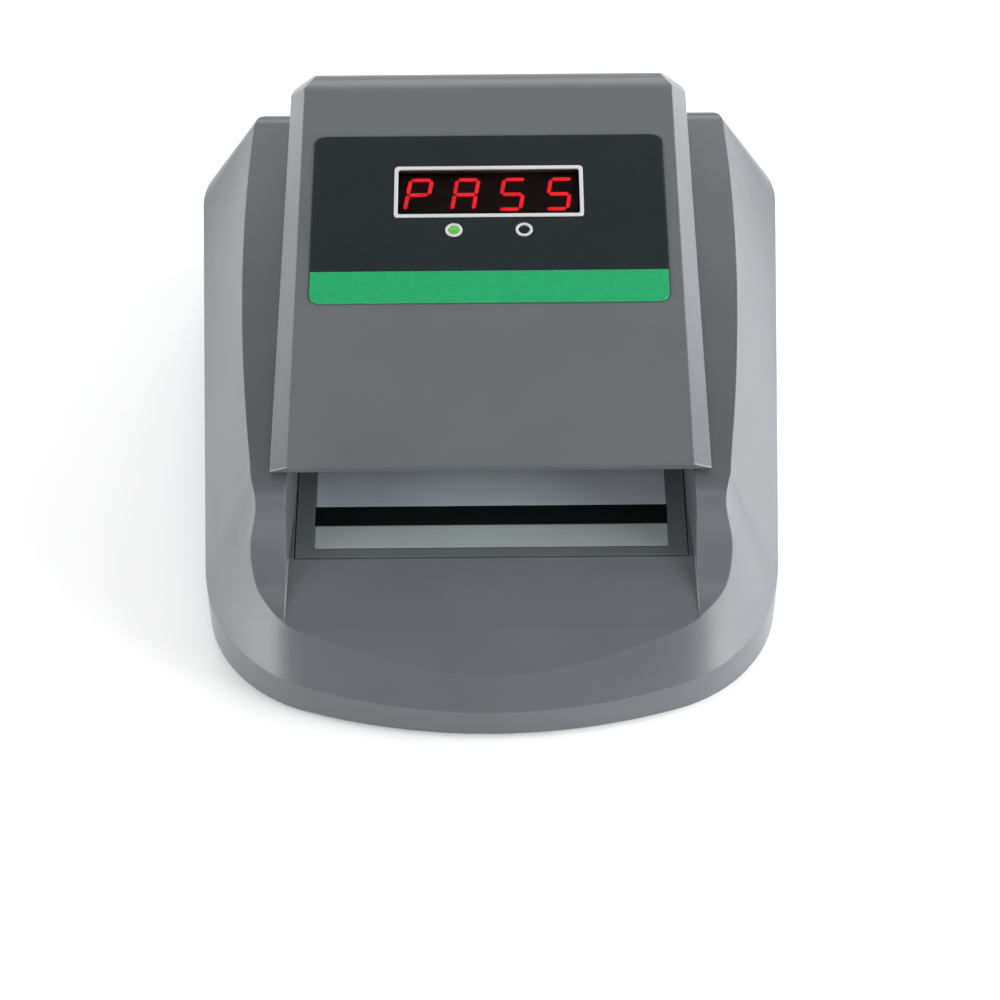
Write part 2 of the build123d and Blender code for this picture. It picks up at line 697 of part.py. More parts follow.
SHAFT_END = 1.5             # how far a shaft stands out past its last part
SHAFT_LEFT = -CHEEK_OUTER - SHAFT_END
SHAFT_RIGHT = BELT_X + BELT_WIDTH / 2 + SHAFT_END
for name, (y, z) in drive_centre.items():
    with BuildPart() as shaft:
        add(cross_rod(SHAFT_R, SHAFT_LEFT, SHAFT_RIGHT, y, z))
        chamfer(shaft.edges().filter_by(GeomType.CIRCLE), SHAFT_CHAMFER)
    save(shaft, f"{name}_drive_shaft")
    for side_name, side in (("left", -1), ("right", 1)):
        with BuildPart() as roller:
            centre = side * ROLLER_X
            half = ROLLER_WIDTH / 2
            add(cross_rod(ROLLER_R, centre - half, centre + half, y, z, SHAFT_R))
        save(roller, f"{name}_drive_roller_{side_name}")
    pulley = pulley_part(PULLEY_R, SHAFT_R, y, z)
    save(pulley, f"{name}_pulley")

motor_bore = (CHEEK_INNER - MOTOR_SHAFT_IN - PIN_OVERRUN, CHEEK_OUTER)
with BuildPart() as motor:
    add(cross_rod(MOTOR_R, MOTOR_LEFT, CHEEK_INNER, MOTOR_Y, MOTOR_Z))
    add(cross_rod(MOTOR_BOSS_R, CHEEK_INNER, CHEEK_INNER + MOTOR_BOSS, MOTOR_Y, MOTOR_Z))
    add(cross_rod(MOTOR_BOSS_R, MOTOR_LEFT - MOTOR_BOSS, MOTOR_LEFT, MOTOR_Y, MOTOR_Z))
    add(
        cross_rod(MOTOR_SHAFT_R + BUSH_CLEARANCE, *motor_bore, MOTOR_Y, MOTOR_Z),
        mode=Mode.SUBTRACT,
    )
    fillet(motor.edges().filter_by(GeomType.CIRCLE).sort_by(SortBy.RADIUS)[-2:], MOTOR_EDGE)
save(motor, "motor")

with BuildPart() as motor_shaft:
    add(cross_rod(MOTOR_SHAFT_R, CHEEK_INNER - MOTOR_SHAFT_IN, SHAFT_RIGHT, MOTOR_Y, MOTOR_Z))
save(motor_shaft, "motor_shaft")
motor_pulley = pulley_part(MOTOR_PULLEY_R, MOTOR_SHAFT_R, MOTOR_Y, MOTOR_Z)
save(motor_pulley, "motor_pulley")

with BuildPart() as drive_belt:
    for grow, mode in ((BELT_CLEARANCE + BELT_THICK, Mode.ADD), (BELT_CLEARANCE, Mode.SUBTRACT)):
        with BuildSketch(Plane.YZ.offset(BELT_X - BELT_WIDTH / 2)) as loop:
            for y, z in drive_centre.values():
                with Locations((y, z)):
                    Circle(PULLEY_R + grow)
            with Locations((MOTOR_Y, MOTOR_Z)):
                Circle(MOTOR_PULLEY_R + grow)
            make_hull()
        extrude(amount=BELT_WIDTH, mode=mode)
save(drive_belt, "drive_belt")

# ---------------------------------------------------------------- electronics in the base
with BuildPart() as main_board:
    with BuildSketch(Plane.XY.offset(BOARD_BOTTOM)):
        with Locations(BOARD_CENTRE):
            RectangleRounded(board_w, board_l, BOARD_CORNER)
        with Locations(*BOARD_POSTS):
            Circle(BOARD_HOLE_R, mode=Mode.SUBTRACT)
    extrude(amount=BOARD_THICK)
save(main_board, "main_board")

BOARD_TOP = BOARD_BOTTOM + BOARD_THICK
with BuildPart() as board_chips:
    for (x, y), (w, l, h) in CHIPS:
        with BuildSketch(Plane.XY.offset(BOARD_TOP)):
            with Locations((x, y)):
                Rectangle(w, l)
        extrude(amount=h)
save(board_chips, "board_chips")

with BuildPart() as board_capacitors:
    with BuildSketch(Plane.XY.offset(BOARD_TOP)):
        with Locations(*CAPACITOR_PLACES):
            Circle(CAPACITOR_R)
    extrude(amount=CAPACITOR_HEIGHT)
    fillet(board_capacitors.edges().group_by(Axis.Z)[-1], CAPACITOR_EDGE)
save(board_capacitors, "board_capacitors")

with BuildPart() as board_sockets:
    with BuildSketch(Plane.XY.offset(BOARD_TOP)):
        with Locations(*SOCKET_PLACES):
            Rectangle(SOCKET_SIZE[0], SOCKET_SIZE[1])
    extrude(amount=SOCKET_SIZE[2])
    with BuildSketch(Plane.XY.offset(BOARD_TOP + SOCKET_SIZE[2])):
        with Locations(*SOCKET_PLACES):
            Rectangle(SOCKET_SIZE[0] - 2 * SOCKET_WALL, SOCKET_SIZE[1] - 2 * SOCKET_WALL)
    extrude(amount=-SOCKET_DEPTH, mode=Mode.SUBTRACT)
save(board_sockets, "board_sockets")



def over_board(point):
    """Plane on a board screw's head, facing down."""
    return Plane((*point, BOARD_TOP + BOARD_SCREW_HEAD[1]), x_dir=(1, 0, 0), z_dir=(0, 0, -1))


board_screws = screw_group(
    BOARD_POSTS, BOARD_SCREW_HEAD, STANDOFF_PILOT_R, BOARD_SCREW_LENGTH, over_board
)
save(board_screws, "board_screws")

with BuildPart() as dc_jack:
    with Locations((JACK_X, HALF_DEPTH - WALL - FIT / 2, BOARD_TOP)):
        Box(*JACK_BODY, align=(Align.CENTER, Align.MAX, Align.MIN))
    with BuildSketch(Plane.XZ.offset(JACK_BACK - HALF_DEPTH)):
        with Locations((JACK_X, JACK_Z)):
            Circle(JACK_R)
    extrude(amount=JACK_NECK)
    with BuildSketch(Plane.XZ.offset(JACK_BACK - HALF_DEPTH)):
        with Locations((JACK_X, JACK_Z)):
            Circle(JACK_BORE_R)
            Circle(JACK_PIN_R, mode=Mode.SUBTRACT)
    extrude(amount=JACK_BORE_DEPTH, mode=Mode.SUBTRACT)
save(dc_jack, "dc_jack")

rocker_pins = (SWITCH_X - ROCKER_PIN_HALF, SWITCH_X + ROCKER_PIN_HALF)
with BuildPart() as switch_frame:
    with BuildSketch(Plane.XZ.offset(SWITCH_PROUD - HALF_DEPTH)):
        with Locations((SWITCH_X, SWITCH_Z)):
            Rectangle(*FRAME_FLANGE)
    extrude(amount=SWITCH_DEPTH - SWITCH_PROUD)
    with BuildSketch(Plane.XZ.offset(SWITCH_DEPTH - HALF_DEPTH)):
        with Locations((SWITCH_X, SWITCH_Z)):
            Rectangle(*FRAME_BODY)
    extrude(amount=FRAME_BODY_DEPTH)
    with BuildSketch(Plane.XZ.offset(SWITCH_PROUD - HALF_DEPTH)):
        with Locations((SWITCH_X, SWITCH_Z)):
            Rectangle(*FRAME_OPENING)
    extrude(amount=FRAME_OPENING_DEPTH, mode=Mode.SUBTRACT)
    add(
        cross_rod(
            ROCKER_PIN_R + BUSH_CLEARANCE,
            rocker_pins[0] - FIT,
            rocker_pins[1] + FIT,
            ROCKER_PIVOT_Y,
            SWITCH_Z,
        ),
        mode=Mode.SUBTRACT,
    )
save(switch_frame, "switch_frame")

with BuildPart() as power_rocker:
    add(
        side_prism(
            [
                (ROCKER_PIVOT_Y + ROCKER_OFF, SWITCH_Z + ROCKER_HALF),
                (ROCKER_PIVOT_Y + ROCKER_MIDDLE, SWITCH_Z),
                (ROCKER_PIVOT_Y + ROCKER_ON, SWITCH_Z - ROCKER_HALF),
                (ROCKER_PIVOT_Y - ROCKER_HEEL, SWITCH_Z - ROCKER_HALF),
                (ROCKER_PIVOT_Y - ROCKER_BELLY, SWITCH_Z),
                (ROCKER_PIVOT_Y - ROCKER_HEEL, SWITCH_Z + ROCKER_HALF),
            ],
            SWITCH_X - ROCKER_HALF,
            SWITCH_X + ROCKER_HALF,
        )
    )
    fillet(power_rocker.edges().filter_by(Axis.X), ROCKER_EDGE)
    add(cross_rod(ROCKER_PIN_R, *rocker_pins, ROCKER_PIVOT_Y, SWITCH_Z))
save(power_rocker, "power_rocker")


# ---------------------------------------------------------------- hood
def hood_form(inset=0.0, drop=0.0):
    """Outer form of the hood, its lower edge open when dropped below the seam."""
    seam_front = deck_height(HOOD_FRONT) + HOOD_SEAM - drop
    seam_back = deck_height(HOOD_BACK) + HOOD_SEAM - drop
    front_low = HOOD_FRONT + HOOD_UNDERCUT + inset
    front_top = front_low if inset else HOOD_FRONT
    sections = [
        (HOOD_FRONT, HOOD_FRONT_BEVEL, seam_front),
        (HOOD_BACK, HOOD_BACK_BEVEL, seam_back),
    ]
    with BuildPart() as form:
        for y, bevel, seam in sections:
            top = hood_height(y) - inset
            with BuildSketch(Plane.XZ.offset(-y)):
                with BuildLine():
                    Polyline(
                        (-HOOD_HALF + inset, seam),
                        (-HOOD_HALF + inset, top - bevel),
                        (-HOOD_TOP_HALF + inset, top),
                        (HOOD_TOP_HALF - inset, top),
                        (HOOD_HALF - inset, top - bevel),
                        (HOOD_HALF - inset, seam),
                        close=True,
                    )
                make_face()
        loft(ruled=True)
        with BuildSketch(Plane.YZ.offset(-LONG / 2)) as profile:
            with BuildLine():
                Polyline(
                    (front_low, BELOW),
                    (front_low, seam_front),
                    (front_top, hood_height(front_top) - inset),
                    (HOOD_BACK - inset, hood_height(HOOD_BACK - inset) - inset),
                    (HOOD_BACK - inset, BELOW),
                    close=True,
                )
            make_face()
            fillet(profile.vertices().sort_by(Axis.Y)[-1], HOOD_BACK_ROUND - inset)
        extrude(amount=LONG, mode=Mode.INTERSECT)
        for side in (-1, 1):
            normal = Vector(side * HOOD_CORNER_NORMAL[0], *HOOD_CORNER_NORMAL[1:]).normalized()
            corner = Vector(side * HOOD_CORNER[0], HOOD_CORNER[1], hood_height(HOOD_CORNER[1]))
            split(bisect_by=Plane(origin=corner - normal * inset, z_dir=normal), keep=Keep.BOTTOM)
    return form.part


LAMP_POINTS = [(-LAMP_X, on_hood(LAMP_Y)), (LAMP_X, on_hood(LAMP_Y))]
HOOD_BOSSES = [(x, y) for x in (-HOOD_BOSS_X, HOOD_BOSS_X) for y in HOOD_BOSS_YS]
hood_outer = hood_form()
hood_inner = hood_form(inset=WALL, drop=HOOD_OPEN)

with BuildPart() as hood_boss_form:
    with BuildSketch(TRAY_PLANE.offset(GUIDE_LIFT + GUIDE_THICK)):
        with Locations(*[(x, on_tray(y)) for x, y in HOOD_BOSSES]):
            Circle(HOOD_BOSS_R)
    extrude(amount=LONG)
    for side in (-1, 1):
        boss_inner = HINGE_EAR_X + HINGE_EAR_THICK / 2 + HINGE_GAP
        boss_outer = HOOD_HALF
        add(cross_rod(HINGE_BOSS_R, *sorted((side * boss_inner, side * boss_outer)), HINGE_Y, HINGE_Z))
    add(hood_form(inset=WALL / 2, drop=HOOD_OPEN), mode=Mode.INTERSECT)


def hood_rectangle(half, low, high):
    """Rectangle on the hood's top plane between two places along the machine."""
    with Locations((0, on_hood((low + high) / 2))):
        Rectangle(2 * half, on_hood(high - low))


with BuildPart() as hood_cover:
    add(hood_outer)
    add(hood_inner, mode=Mode.SUBTRACT)
    add(hood_boss_form.part)
    with BuildSketch(HOOD_PLANE):
        with Locations((0, on_hood((PANEL_FRONT + PANEL_BACK) / 2))):
            RectangleRounded(
                2 * PANEL_HALF + FIT, on_hood(PANEL_BACK - PANEL_FRONT) + FIT, PANEL_CORNER
            )
    extrude(amount=-PANEL_RECESS, mode=Mode.SUBTRACT)
    with BuildSketch(HOOD_PLANE):
        hood_rectangle(
            BEZEL_HALF - DISPLAY_LEDGE, BEZEL_FRONT + DISPLAY_LEDGE, BEZEL_BACK - DISPLAY_LEDGE
        )
        with Locations(*LAMP_POINTS):
            Circle(LAMP_R + LAMP_FIT)
    extrude(amount=-2 * WALL, mode=Mode.SUBTRACT)
    for side in (-1, 1):
        with Locations((side * HINGE_EAR_X, HOOD_BACK, HINGE_Z + HINGE_SLOT_TOP)):
            Box(*HINGE_SLOT, align=(Align.CENTER, Align.CENTER, Align.MAX), mode=Mode.SUBTRACT)
    pin_reach = HOOD_HALF - PIN_SEAT
    add(cross_rod(HINGE_PIN_R, -pin_reach, pin_reach, HINGE_Y, HINGE_Z), mode=Mode.SUBTRACT)
    with BuildSketch(TRAY_PLANE.offset(GUIDE_LIFT + GUIDE_THICK)):
        with Locations(*[(x, on_tray(y)) for x, y in HOOD_BOSSES]):
            Circle(GUIDE_SCREW_R)
    extrude(amount=GUIDE_SCREW_LENGTH, mode=Mode.SUBTRACT)
save(hood_cover, "hood_cover")

for side_name, side in (("left", -1), ("right", 1)):
    with BuildPart() as hinge_pin:
        pin_inner = HINGE_EAR_X - HINGE_EAR_THICK / 2 - PIN_OVERRUN
        add(cross_rod(HINGE_PIN_R, *sorted((side * pin_inner, side * pin_reach)), HINGE_Y, HINGE_Z))
    save(hinge_pin, f"hinge_pin_{side_name}")

PANEL_PARTS = {
    "panel_stripe": (PANEL_FRONT, STRIPE_BACK),
    "panel_face": (STRIPE_BACK + PANEL_SPLIT, PANEL_BACK),
}
for name, (low, high) in PANEL_PARTS.items():
    with BuildPart() as panel:
        with BuildSketch(HOOD_PLANE.offset(-PANEL_RECESS)):
            with Locations((0, on_hood((PANEL_FRONT + PANEL_BACK) / 2))):
                RectangleRounded(2 * PANEL_HALF, on_hood(PANEL_BACK - PANEL_FRONT), PANEL_CORNER)
            with Locations((0, on_hood((low + high) / 2))):
                Rectangle(3 * PANEL_HALF, on_hood(high - low), mode=Mode.INTERSECT)
            with Locations((0, on_hood((BEZEL_FRONT + BEZEL_BACK) / 2))):
                Rectangle(
                    2 * (BEZEL_HALF + INLAY_GAP),
                    on_hood(BEZEL_BACK - BEZEL_FRONT) + 2 * INLAY_GAP,
                    mode=Mode.SUBTRACT,
                )
            with Locations(*LAMP_POINTS):
                Circle(LAMP_R + INLAY_GAP, mode=Mode.SUBTRACT)
        extrude(amount=PANEL_THICK)
    save(panel, name)

with BuildPart() as display_bezel:
    with BuildSketch(HOOD_PLANE.offset(-PANEL_RECESS)):
        with Locations((0, on_hood((BEZEL_FRONT + BEZEL_BACK) / 2))):
            RectangleRounded(2 * BEZEL_HALF, on_hood(BEZEL_BACK - BEZEL_FRONT), BEZEL_CORNER)
            RectangleRounded(
                2 * (BEZEL_HALF - BEZEL_LINE),
                on_hood(BEZEL_BACK - BEZEL_FRONT) - 2 * BEZEL_LINE,
                WINDOW_CORNER,
                mode=Mode.SUBTRACT,
            )
    extrude(amount=PANEL_THICK + BEZEL_PROUD)
save(display_bezel, "display_bezel")

window_half = BEZEL_HALF - BEZEL_LINE - INLAY_GAP
window_length = on_hood(BEZEL_BACK - BEZEL_FRONT) - 2 * (BEZEL_LINE + INLAY_GAP)
with BuildPart() as display_window:
    with BuildSketch(HOOD_PLANE.offset(WINDOW_BOTTOM)):
        with Locations((0, on_hood((BEZEL_FRONT + BEZEL_BACK) / 2))):
            RectangleRounded(2 * window_half, window_length, WINDOW_CORNER)
    extrude(amount=WINDOW_THICK)
save(display_window, "display_window")

with BuildPart() as display_module:
    with BuildSketch(HOOD_PLANE.offset(MODULE_BOTTOM)):
        with Locations((0, on_hood((BEZEL_FRONT + BEZEL_BACK) / 2))):
            Rectangle(2 * (window_half - MODULE_GAP), window_length - 2 * MODULE_GAP)
    extrude(amount=MODULE_TOP - MODULE_BOTTOM)
save(display_module, "display_module")

SEGMENTS = {
    "top": ((-1, 1), (1, 1)),
    "upper_right": ((1, 1), (1, 0)),
    "lower_right": ((1, 0), (1, -1)),
    "bottom": ((-1, -1), (1, -1)),
    "lower_left": ((-1, 0), (-1, -1)),
    "upper_left": ((-1, 1), (-1, 0)),
    "middle": ((-1, 0), (1, 0)),
}
WORD = [
    ["top", "upper_right", "lower_left", "upper_left", "middle"],
    ["top", "upper_right", "lower_right", "lower_left", "upper_left", "middle"],
    ["top", "upper_left", "middle", "lower_right", "bottom"],
    ["top", "upper_left", "middle", "lower_right", "bottom"],
]


def segment_corners(start, end):
    """Corners of one bar of a slanted seven-segment figure, shortened at its ends."""
    x1, y1 = start
    x2, y2 = end
    length = hypot(x2 - x1, y2 - y1)
    ux, uy = (x2 - x1) / length, (y2 - y1) / length
    nx, ny = -uy * SEGMENT_WIDTH / 2, ux * SEGMENT_WIDTH / 2
    point = SEGMENT_GAP
    shoulder = SEGMENT_GAP + SEGMENT_WIDTH / 2
    corners = [
        (x1 + ux * point, y1 + uy * point),
        (x1 + ux * shoulder + nx, y1 + uy * shoulder + ny),
        (x2 - ux * shoulder + nx, y2 - uy * shoulder + ny),
        (x2 - ux * point, y2 - uy * point),
        (x2 - ux * shoulder - nx, y2 - uy * shoulder - ny),
        (x1 + ux * shoulder - nx, y1 + uy * shoulder - ny),
    ]
    return [(x + tan(radians(DIGIT_ANGLE)) * y, y) for x, y in corners]


digit_plane = HOOD_PLANE.offset(MODULE_TOP)
with BuildPart() as display_digits:
    for place, lit in enumerate(WORD):
        centre_x = (place - (len(WORD) - 1) / 2) * DIGIT_PITCH
        centre_y = on_hood((BEZEL_FRONT + BEZEL_BACK) / 2)
        origin = digit_plane.from_local_coords((centre_x, centre_y, 0))
        with BuildSketch(Plane(origin, x_dir=digit_plane.x_dir, z_dir=digit_plane.z_dir)):
            for segment in lit:
                ends = [(x * DIGIT_WIDTH / 2, y * DIGIT_HEIGHT / 2) for x, y in SEGMENTS[segment]]
                Polygon(*segment_corners(*ends), align=None)
        extrude(amount=DIGIT_THICK)
save(display_digits, "display_digits")

with BuildPart() as display_board:
    with BuildSketch(HOOD_PLANE.offset(MODULE_BOTTOM - BOARD_THICK)):
        hood_rectangle(*DISPLAY_BOARD)
    extrude(amount=BOARD_THICK)
save(display_board, "display_board")

for name, x in (("pass_lamp", -LAMP_X), ("alert_lamp", LAMP_X)):
    with BuildPart() as lamp:
        with BuildSketch(HOOD_PLANE.offset(MODULE_BOTTOM)):
            with Locations((x, on_hood(LAMP_Y))):
                Circle(LAMP_R)
        extrude(amount=LAMP_TOP - MODULE_BOTTOM)
        fillet(lamp.edges().group_by(Axis.Z)[-1], LAMP_EDGE)
    save(lamp, name)

with BuildPart() as lamp_rings:
    with BuildSketch(HOOD_PLANE.offset(PANEL_THICK - PANEL_RECESS)):
        with Locations(*LAMP_POINTS):
            Circle(LAMP_RING_R)
            Circle(LAMP_R + INLAY_GAP, mode=Mode.SUBTRACT)
    extrude(amount=LAMP_RING_THICK)
save(lamp_rings, "lamp_rings")

# ---------------------------------------------------------------- upper note guide
SPRING_LIFT = idler_lift + IDLER_SHAFT_R + SPRING_GAP
guide_low = [
    path_point(GUIDE_BACK, GUIDE_LIFT),
    path_point(GUIDE_FRONT, GUIDE_LIFT),
    (GUIDE_LIP_Y, GUIDE_LIP_Z),
]
guide_high = [
    (GUIDE_LIP_Y, GUIDE_LIP_Z + GUIDE_LIP_THICK),
    path_point(GUIDE_FRONT, GUIDE_LIFT + GUIDE_THICK),
    path_point(GUIDE_BACK, GUIDE_LIFT + GUIDE_THICK),
]
guide_cut = GUIDE_LIFT + 2 * GUIDE_THICK
with BuildPart() as upper_guide:
    add(side_prism(guide_low + guide_high, -GUIDE_HALF, GUIDE_HALF))
    for y in SHAFT_YS.values():
        for ear_from in (-EAR_OUTER, EAR_INNER):
            ear = side_prism(
                [
                    path_point(y - EAR_FOOT, GUIDE_LIFT + GUIDE_THICK / 2),
                    path_point(y + EAR_FOOT, GUIDE_LIFT + GUIDE_THICK / 2),
                    path_point(y + EAR_HEAD, idler_lift + EAR_HEAD),
                    path_point(y - EAR_HEAD, idler_lift + EAR_HEAD),
                ],
                ear_from,
                ear_from + EAR_OUTER - EAR_INNER,
            )
            add(ear)
    for y in SHAFT_YS.values():
        rest = side_prism(
            [
                path_point(y + SPRING_REACH - SPRING_REST, GUIDE_LIFT + GUIDE_THICK / 2),
                path_point(y + SPRING_REACH, GUIDE_LIFT + GUIDE_THICK / 2),
                path_point(y + SPRING_REACH, SPRING_LIFT),
                path_point(y + SPRING_REACH - SPRING_REST, SPRING_LIFT),
            ],
            -SPRING_HALF,
            SPRING_HALF,
        )
        add(rest)
    with BuildSketch(TRAY_PLANE):
        for y in SHAFT_YS.values():
            with Locations((-ROLLER_X, on_tray(y)), (ROLLER_X, on_tray(y))):
                Rectangle(*IDLER_WINDOW)
    extrude(amount=guide_cut, mode=Mode.SUBTRACT)
    for y, z in idler_centre.values():
        add(cross_rod(IDLER_SHAFT_R + BUSH_CLEARANCE, -LONG / 2, LONG / 2, y, z), mode=Mode.SUBTRACT)
    with BuildSketch(TRAY_PLANE):
        with Locations(*[(x, on_tray(y)) for x, y in HOOD_BOSSES]):
            Circle(GUIDE_HOLE_R)
    extrude(amount=guide_cut, mode=Mode.SUBTRACT)
save(upper_guide, "upper_guide")

for name, (y, z) in idler_centre.items():
    with BuildPart() as axle:
        add(cross_rod(IDLER_SHAFT_R, -EAR_OUTER - AXLE_END, EAR_OUTER + AXLE_END, y, z))
    save(axle, f"{name}_idler_axle")
    for side_name, side in (("left", -1), ("right", 1)):
        with BuildPart() as idler:
            centre = side * ROLLER_X
            half = IDLER_WIDTH / 2
            add(cross_rod(IDLER_R, centre - half, centre + half, y, z, IDLER_SHAFT_R))
        save(idler, f"{name}_idler_roller_{side_name}")

with BuildPart() as guide_screws:
    with BuildSketch(TRAY_PLANE.offset(GUIDE_LIFT + GUIDE_SCREW_HEAD)):
        with Locations(*[(x, on_tray(y)) for x, y in HOOD_BOSSES]):
            Circle(GUIDE_SCREW_R - BUSH_CLEARANCE)
    extrude(amount=GUIDE_SCREW_LENGTH)
save(guide_screws, "guide_screws")

with BuildPart() as idler_springs:
    with BuildSketch(TRAY_PLANE.offset(SPRING_LIFT)):
        for y in SHAFT_YS.values():
            with Locations((0, on_tray(y - SPRING_OVERHANG))):
                Rectangle(
                    2 * (SPRING_HALF - SPRING_EDGE),
                    SPRING_REACH + SPRING_OVERHANG,
                    align=(Align.CENTER, Align.MIN),
                )
    extrude(amount=SPRING_THICK)
save(idler_springs, "idler_springs")
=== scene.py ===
"""Looks for a desktop counterfeit bill detector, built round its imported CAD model."""
import json
import math

import bmesh
import bpy
from mathutils import Matrix, Vector

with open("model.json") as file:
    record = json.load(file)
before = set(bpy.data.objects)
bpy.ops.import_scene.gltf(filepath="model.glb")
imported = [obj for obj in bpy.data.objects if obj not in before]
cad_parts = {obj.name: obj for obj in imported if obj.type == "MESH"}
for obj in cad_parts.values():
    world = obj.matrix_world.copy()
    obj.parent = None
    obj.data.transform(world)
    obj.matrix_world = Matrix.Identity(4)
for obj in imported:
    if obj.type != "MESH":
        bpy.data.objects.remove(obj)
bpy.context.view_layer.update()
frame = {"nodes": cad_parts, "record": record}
RECORD = frame["record"]
NODES = frame["nodes"]
MM = 0.001

# ---------------------------------------------------------------- camera, lights and stage
TARGET = Vector((1.8 * MM, -35.6 * MM, 30 * MM))
CAMERA_ELEVATION = math.radians(47.0)
CAMERA_DISTANCE = 0.525
CAMERA_ROLL = math.radians(-0.5)
LENS = 93.6
SENSOR_WIDTH = 36.0
NEAR_CLIP = 0.01

LIGHT_TARGET = Vector((0, 0, 0.03))
SOFTBOXES = {               # location and size in metres, power in watts
    "right_softbox": ((0.75, -0.12, 0.26), (0.9, 0.42), 12.0),
    "left_softbox": ((-0.75, -0.12, 0.22), (0.9, 0.30), 8.0),
    "back_softbox": ((0.0, 1.05, 0.62), (1.2, 0.5), 5.5),
    "front_softbox": ((0.0, -1.0, 0.95), (1.0, 0.5), 1.8),
    "left_strip": ((-0.50, -0.22, 0.06), (0.45, 0.05), 1.0),
    "right_strip": ((0.50, -0.10, 0.09), (0.6, 0.09), 2.2),
}

WORLD_BELOW = (0.95, 0.95, 0.96, 1)
WORLD_ABOVE = (0.45, 0.45, 0.46, 1)
WORLD_BANDS = ((0.25, 0.80), (0.50, 0.35), (0.80, 0.40))    # height from 0 to 1, grey level
WORLD_BLUE = 1.01
WORLD_STRENGTH = 0.85

FLOOR_HALF = 4.0
FLOOR_TONES = ((0.93, 0.93, 0.93), (0.96, 0.96, 0.96))
FLOOR_ROUGHNESS = 0.35

# ---------------------------------------------------------------- surface textures
# Noise textures: features per metre, detail, roughness and, for flow marks, stretch.
FLOW = (38, 4.0, 0.6, (1, 1, 2.2))
SMUDGE = (90, 5.0, 0.62)
GRAIN = (2600, 2.0, 0.5)
DUST = (420, 6.0, 0.7)
PITS = (1500, 3.0, 0.6)
STREAK = (160, 4.0, 0.65)
INK = (900, 3.0, 0.5)
SMEAR = (70, 5.0, 0.6)
FILM_GRAIN = (5200, 1.0, 0.5)
CLOUD = (650, 2.0, 0.5)
HAZE = (240, 4.0, 0.6)
BOARD_GLOSS = (800, 3.0, 0.55)
PAPER = (6, 2.0, 0.5)

# Bands of noise value that a texture is stretched over.
WIDE_BAND = (0.3, 0.7)
MIDDLE_BAND = (0.35, 0.65)
DUST_BAND = (0.45, 0.75)
EDGE_BAND = (0.96, 0.80)    # cosine between the true and the rounded normal

EDGE_SAMPLES = 6
GRAIN_DEPTH = 0.02 * MM
PIT_DEPTH = 0.04 * MM
FILM_DEPTH = 0.01 * MM
BOARD_DEPTH = 0.03 * MM

BOARD_MASK = ((0.010, 0.085, 0.035, 1), (0.014, 0.12, 0.05, 1))
BOARD_TRACK = (0.03, 0.21, 0.08, 1)
BOARD_SCALE = 260
BOARD_TRACK_SIZE = 0.06

ALONG_X = (1, 60, 60)       # stretch of the streaks on drawn metal
ALONG_Y = (60, 1, 60)
ACROSS_X = (60, 1, 1)
ROUND_CAN = (1, 1, 40)
SCREW_HEAD = (20, 20, 1)


def add_camera():
    """Camera in front of the machine, looking down on it."""
    data = bpy.data.cameras.new("camera")
    data.lens = LENS
    data.sensor_width = SENSOR_WIDTH
    data.clip_start = NEAR_CLIP
    camera = bpy.data.objects.new("camera", data)
    bpy.context.collection.objects.link(camera)
    back = Vector((0, -math.cos(CAMERA_ELEVATION), math.sin(CAMERA_ELEVATION)))
    camera.location = TARGET + back * CAMERA_DISTANCE
    aim = (-back).to_track_quat("-Z", "Y").to_matrix()
    roll = Matrix.Rotation(CAMERA_ROLL, 3, "Z")
    camera.rotation_euler = (aim @ roll).to_euler()
    bpy.context.scene.camera = camera


def add_softboxes():
    """Rectangular area lights aimed at the machine."""
    for name, (location, size, power) in SOFTBOXES.items():
        data = bpy.data.lights.new(name, "AREA")
        data.shape = "RECTANGLE"
        data.size, data.size_y = size
        data.energy = power
        light = bpy.data.objects.new(name, data)
        bpy.context.collection.objects.link(light)
        light.location = location
        aim = LIGHT_TARGET - Vector(location)
        light.rotation_euler = aim.to_track_quat("-Z", "Y").to_euler()


